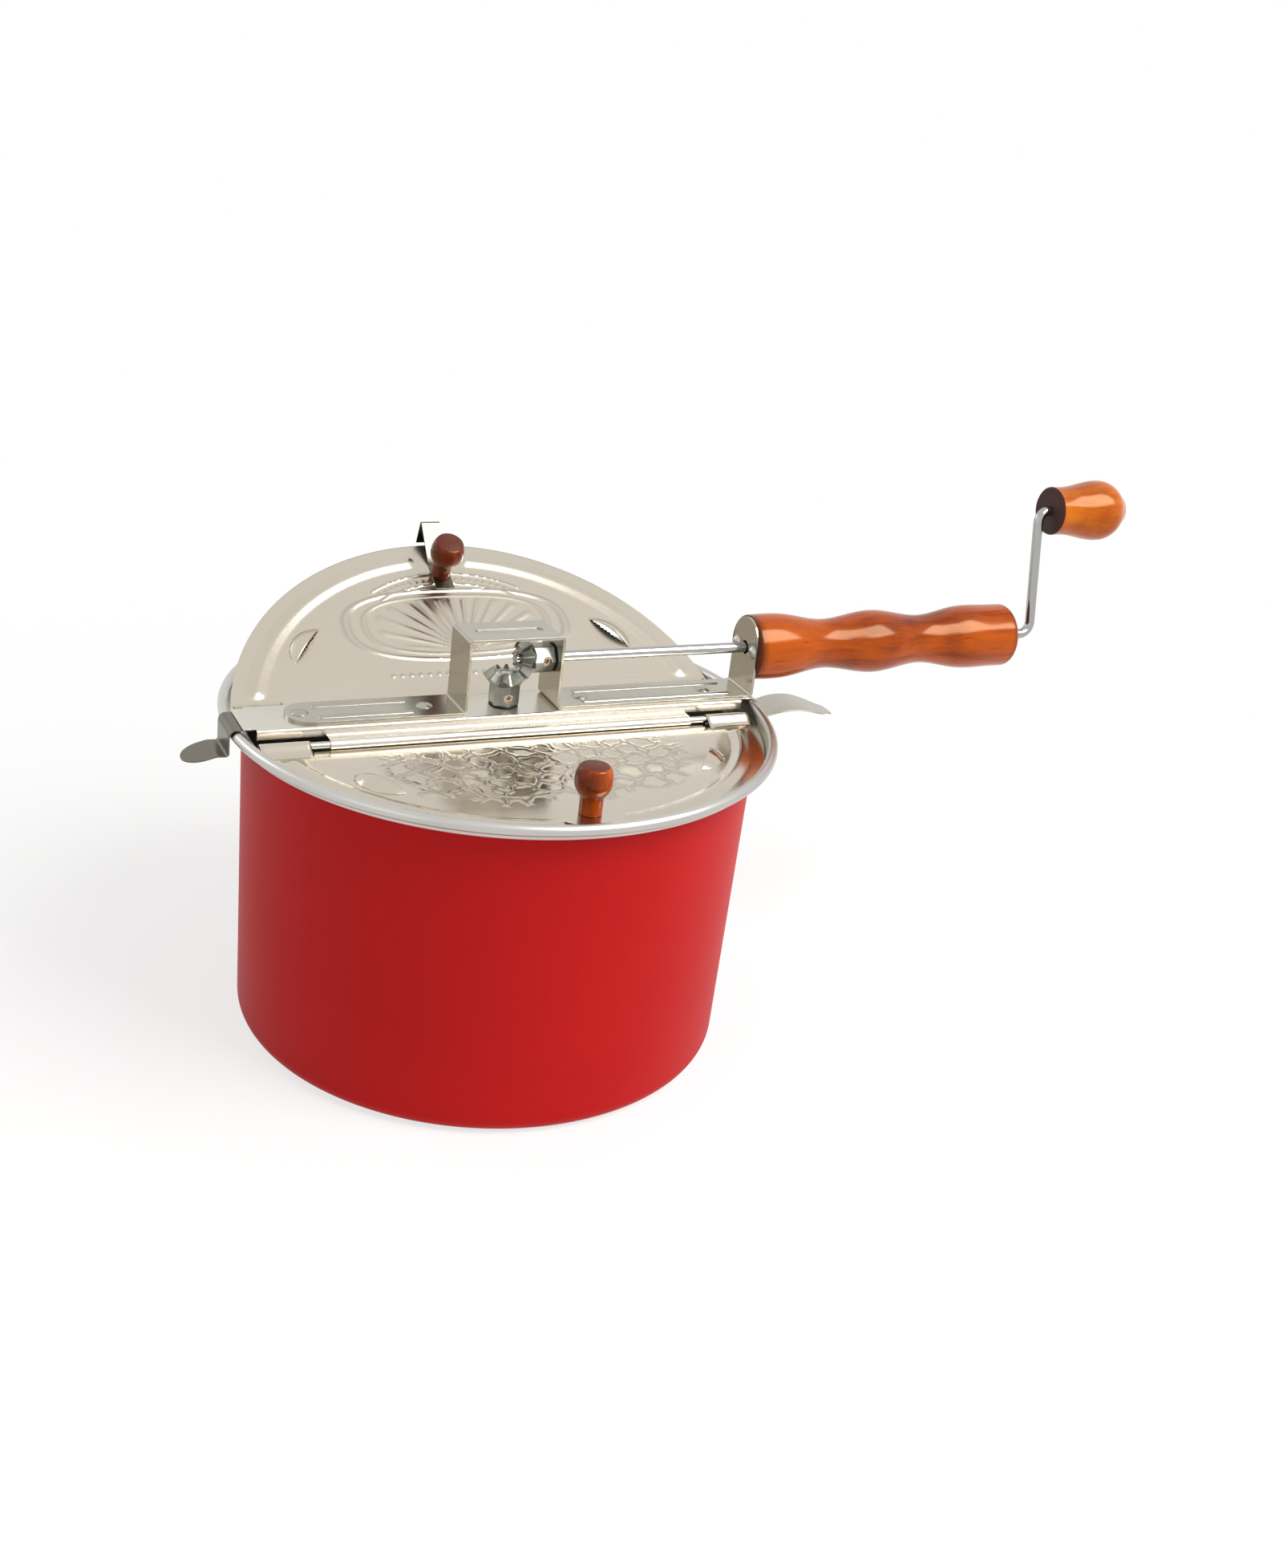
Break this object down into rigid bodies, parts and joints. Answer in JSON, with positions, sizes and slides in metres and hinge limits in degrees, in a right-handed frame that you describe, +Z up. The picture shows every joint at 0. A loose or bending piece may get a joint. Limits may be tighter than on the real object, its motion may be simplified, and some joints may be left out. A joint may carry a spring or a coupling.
{
  "type": "stovetop popcorn popper",
  "caption": "Red stovetop popcorn popper: aluminium pot with a clip-on split hinged lid, and a wooden-handled crank that turns a stirrer through bevel gears.",
  "frame": {"origin": "centre of the pot's flat base", "axes": "+Z up, +X along the crank towards the handle, -Y towards the front lid"},
  "size_m": [0.4686, 0.2436, 0.245],
  "materials": {
    "pot_coating": "spun aluminium: satin red powder coat outside, bare inside and on the rolled rim",
    "lid_aluminium": "bright rolled sheet, pressed",
    "bracket_zinc": "bright zinc-plated steel strap",
    "rod_plate": "bright plated round steel",
    "gear_zinc": "dark zinc casting",
    "spring_steel": "plain spring steel",
    "screw_steel": "plated steel fasteners",
    "set_screw_copper": "coppery plated grub screws",
    "handle_wood": "orange-brown gloss lacquer",
    "knob_wood": "brown gloss lacquer",
    "washer_black": "black thrust washer"
  },
  "bodies": {
    "pot": {"pot_shell": "pot_coating"},
    "lid_frame": {"crosspiece": "lid_aluminium", "front_hinge_pin": "screw_steel", "rear_hinge_pin": "screw_steel", "left_clip_strap": "spring_steel", "right_clip_strap": "spring_steel", "gear_bracket": "bracket_zinc", "bracket_rivets": "screw_steel", "handle_grip": "handle_wood", "handle_screws": "screw_steel"},
    "front_lid": {"front_lid": "lid_aluminium", "front_knob": "knob_wood", "front_knob_screw": "screw_steel"},
    "rear_lid": {"rear_lid": "lid_aluminium", "rear_knob": "knob_wood", "rear_knob_screw": "screw_steel", "rear_lid_clip": "spring_steel"},
    "crank": {"crank_rod": "rod_plate", "drive_gear": "gear_zinc", "drive_set_screw": "set_screw_copper", "crank_washer": "washer_black"},
    "crank_knob": {"crank_knob": "handle_wood"},
    "stirrer": {"stirrer_shaft": "rod_plate", "driven_gear": "gear_zinc", "driven_set_screw": "set_screw_copper", "stirrer_washer": "washer_black", "stirrer_retaining_clip": "spring_steel", "stirrer_wire": "rod_plate"},
    "left_clip": {"left_clip_hook": "spring_steel"},
    "right_clip": {"right_clip_hook": "spring_steel"}
  },
  "joints": [
    {"name": "lid_lift", "type": "slide", "parent": "pot", "child": "lid_frame", "axis": [0, 0, 1], "range_m": [0, 0.16]},
    {"name": "front_lid_hinge", "type": "hinge", "parent": "lid_frame", "child": "front_lid", "pos_m": [0, -0.0185, 0.14415], "axis": [-1, 0, 0], "range_deg": [0, 86]},
    {"name": "rear_lid_hinge", "type": "hinge", "parent": "lid_frame", "child": "rear_lid", "pos_m": [0, 0.0185, 0.14415], "axis": [1, 0, 0], "range_deg": [-28, 58]},
    {"name": "crank_turn", "type": "hinge", "parent": "lid_frame", "child": "crank", "pos_m": [0.118, 0, 0.1709], "axis": [1, 0, 0], "continuous": true},
    {"name": "stirrer_turn", "type": "hinge", "parent": "lid_frame", "child": "stirrer", "pos_m": [0, 0, 0.15], "axis": [0, 0, 1], "continuous": true},
    {"name": "crank_knob_spin", "type": "hinge", "parent": "crank", "child": "crank_knob", "pos_m": [0.3, 0.01134, 0.23033], "axis": [1, 0, 0], "continuous": true},
    {"name": "left_clip_flex", "type": "hinge", "parent": "lid_frame", "child": "left_clip", "pos_m": [-0.1174, 0, 0.14925], "axis": [0, 1, 0], "range_deg": [0, 10], "stiffness_Nm_per_rad": 1.7},
    {"name": "right_clip_flex", "type": "hinge", "parent": "lid_frame", "child": "right_clip", "pos_m": [0.1174, 0, 0.14925], "axis": [0, -1, 0], "range_deg": [0, 10], "stiffness_Nm_per_rad": 1.7}
  ],
  "couplings": [
    {"joint": "stirrer_turn", "follows": "crank_turn", "ratio": 1}
  ]
}
